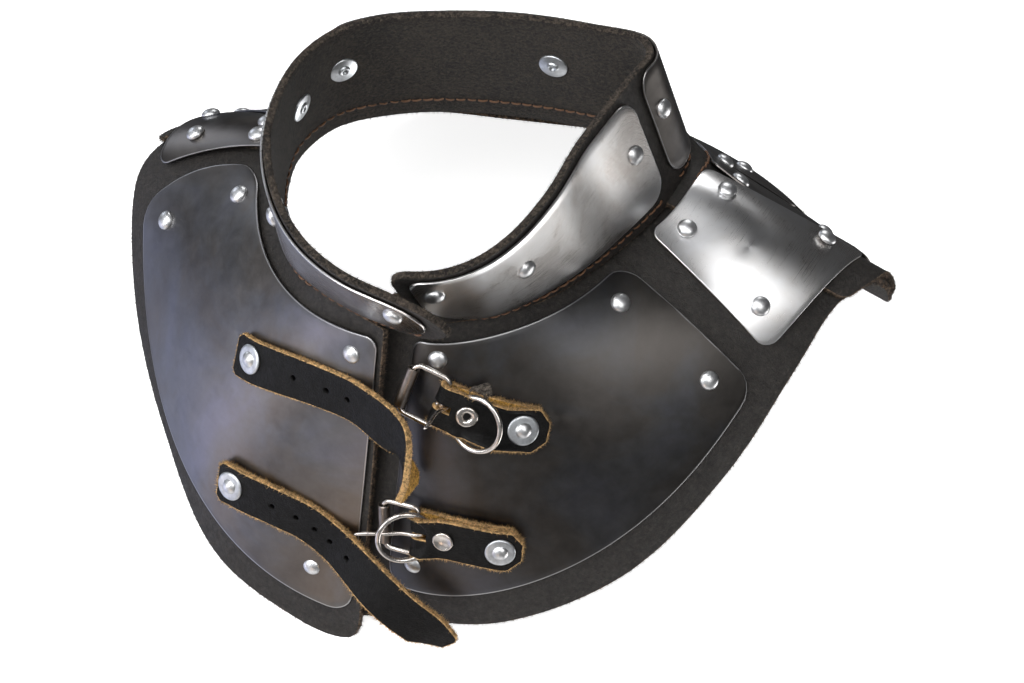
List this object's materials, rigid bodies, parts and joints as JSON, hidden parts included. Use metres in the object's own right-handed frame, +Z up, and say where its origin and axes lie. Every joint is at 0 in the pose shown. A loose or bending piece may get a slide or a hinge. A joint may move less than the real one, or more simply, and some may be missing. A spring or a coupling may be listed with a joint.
{
  "type": "steel gorget",
  "caption": "Leather gorget armoured with riveted steel plates over the collar, mantle and shoulders, open at the front with two buckles and two loose straps.",
  "frame": {"origin": "centre of the bounding box at the floor", "axes": "+Z up as it stands, -Y towards the wearer's front, +X towards the wearer's left"},
  "size_m": [0.3158, 0.2812, 0.1794],
  "materials": {
    "hide": "matt, worn",
    "strap_leather": "satin with raw tan edges",
    "dark_steel": "burnished dark",
    "bright_steel": "brushed",
    "rivet_metal": "satin",
    "nickel": "worn plating"
  },
  "bodies": {
    "root": {"collar_leather": "hide", "collar_plate_left": "bright_steel", "collar_plate_back": "bright_steel", "collar_plate_right": "bright_steel", "rivet_collar_left_front": "rivet_metal", "rivet_collar_left_mid": "rivet_metal", "rivet_collar_left_rear": "rivet_metal", "rivet_collar_back_left": "rivet_metal", "rivet_collar_back_mid": "rivet_metal", "rivet_collar_back_right": "rivet_metal", "rivet_collar_right_rear": "rivet_metal", "rivet_collar_right_mid": "rivet_metal", "rivet_collar_right_front": "rivet_metal", "flap_leather_left": "hide", "flap_leather_back": "hide", "flap_leather_right": "hide", "flap_plate_left": "dark_steel", "flap_plate_right": "dark_steel", "flap_plate_back": "dark_steel", "rivet_flap_left_neck": "rivet_metal", "rivet_flap_left_shoulder": "rivet_metal", "rivet_flap_left_side": "rivet_metal", "rivet_flap_left_low": "rivet_metal", "rivet_flap_right_neck": "rivet_metal", "rivet_flap_right_shoulder": "rivet_metal", "rivet_flap_right_side": "rivet_metal", "rivet_flap_right_low": "rivet_metal", "shoulder_strip_left": "hide", "shoulder_plate_front_left": "bright_steel", "shoulder_plate_rear_left": "bright_steel", "rivet_shoulder_left_inner": "rivet_metal", "rivet_shoulder_left_outer": "rivet_metal", "rivet_shoulder_left_ridge_inner": "rivet_metal", "rivet_shoulder_left_ridge_outer": "rivet_metal", "shoulder_strip_right": "hide", "shoulder_plate_front_right": "bright_steel", "shoulder_plate_rear_right": "bright_steel", "rivet_shoulder_right_inner": "rivet_metal", "rivet_shoulder_right_outer": "rivet_metal", "rivet_shoulder_right_ridge_inner": "rivet_metal", "rivet_shoulder_right_ridge_outer": "rivet_metal", "strap_upper": "strap_leather", "strap_lower": "strap_leather", "rivet_strap_upper": "rivet_metal", "rivet_strap_lower": "rivet_metal", "buckle_strap_upper": "strap_leather", "keeper_ring_upper": "nickel", "rivet_strap_buckle_upper": "rivet_metal", "rivet_fold_upper": "nickel", "buckle_strap_lower": "strap_leather", "keeper_ring_lower": "nickel", "rivet_strap_buckle_lower": "rivet_metal", "rivet_fold_lower": "nickel"},
    "upper_frame": {"buckle_frame_upper": "nickel"},
    "upper_roller": {"buckle_roller_upper": "nickel"},
    "upper_prong": {"buckle_prong_upper": "nickel"},
    "lower_frame": {"buckle_frame_lower": "nickel"},
    "lower_roller": {"buckle_roller_lower": "nickel"},
    "lower_prong": {"buckle_prong_lower": "nickel"}
  },
  "joints": [
    {"name": "upper_frame_swing", "type": "hinge", "parent": "root", "child": "upper_frame", "pos_m": [0.02506, -0.07736, 0.11152], "axis": [0.2397, 0.5682, 0.7872], "range_deg": [-4, 16]},
    {"name": "upper_prong_swing", "type": "hinge", "parent": "upper_frame", "child": "upper_prong", "pos_m": [0.02506, -0.07736, 0.11152], "axis": [0.2397, 0.5682, 0.7872], "range_deg": [-72, 12]},
    {"name": "upper_roller_spin", "type": "hinge", "parent": "upper_frame", "child": "upper_roller", "pos_m": [0.01011, -0.07663, 0.11555], "axis": [0.2397, 0.5682, 0.7872], "continuous": true},
    {"name": "lower_frame_swing", "type": "hinge", "parent": "root", "child": "lower_frame", "pos_m": [0.02013, -0.10861, 0.05813], "axis": [-0.0713, 0.4666, 0.8816], "range_deg": [-4, 0]},
    {"name": "lower_prong_swing", "type": "hinge", "parent": "lower_frame", "child": "lower_prong", "pos_m": [0.02013, -0.10861, 0.05813], "axis": [-0.0713, 0.4666, 0.8816], "range_deg": [-13, 2]},
    {"name": "lower_roller_spin", "type": "hinge", "parent": "lower_frame", "child": "lower_roller", "pos_m": [0.00467, -0.10904, 0.05711], "axis": [-0.0713, 0.4666, 0.8816], "continuous": true}
  ]
}
